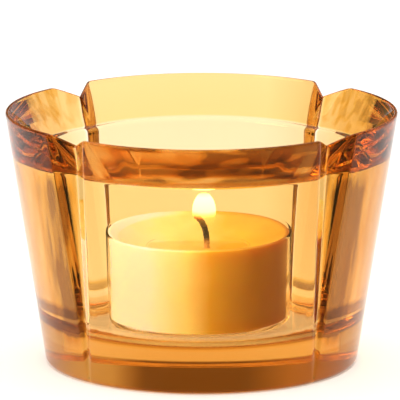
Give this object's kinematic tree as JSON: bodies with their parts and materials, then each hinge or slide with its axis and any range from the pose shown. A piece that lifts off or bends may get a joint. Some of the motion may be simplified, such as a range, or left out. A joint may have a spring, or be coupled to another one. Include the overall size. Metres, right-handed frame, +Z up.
{
  "type": "tealight holder",
  "caption": "Low flared amber glass tealight holder with a lobed, notched rim and a thick floor, holding a lit tealight in a clear cup.",
  "frame": {"origin": "centre of the glass holder's underside, on the surface that it stands on", "axes": "+Z up; the four lobes of the rim point along +X, +Y, -X and -Y, and the notches lie between them"},
  "size_m": [0.0808, 0.0808, 0.0525],
  "materials": {
    "amber_glass": "clear amber pressed glass, fire polished",
    "clear_cup": "thin clear polycarbonate",
    "wax": null,
    "clip_steel": "thin tinned steel",
    "wick_cotton": "braided cotton, charred above the wax"
  },
  "bodies": {
    "holder": {"glass_holder": "amber_glass"},
    "tealight": {"tealight_cup": "clear_cup", "wax": "wax", "wick_clip": "clip_steel", "wick": "wick_cotton"}
  },
  "joints": [
    {"name": "tealight_lift", "type": "slide", "parent": "holder", "child": "tealight", "axis": [0, 0, 1], "range_m": [0, 0.05]}
  ]
}
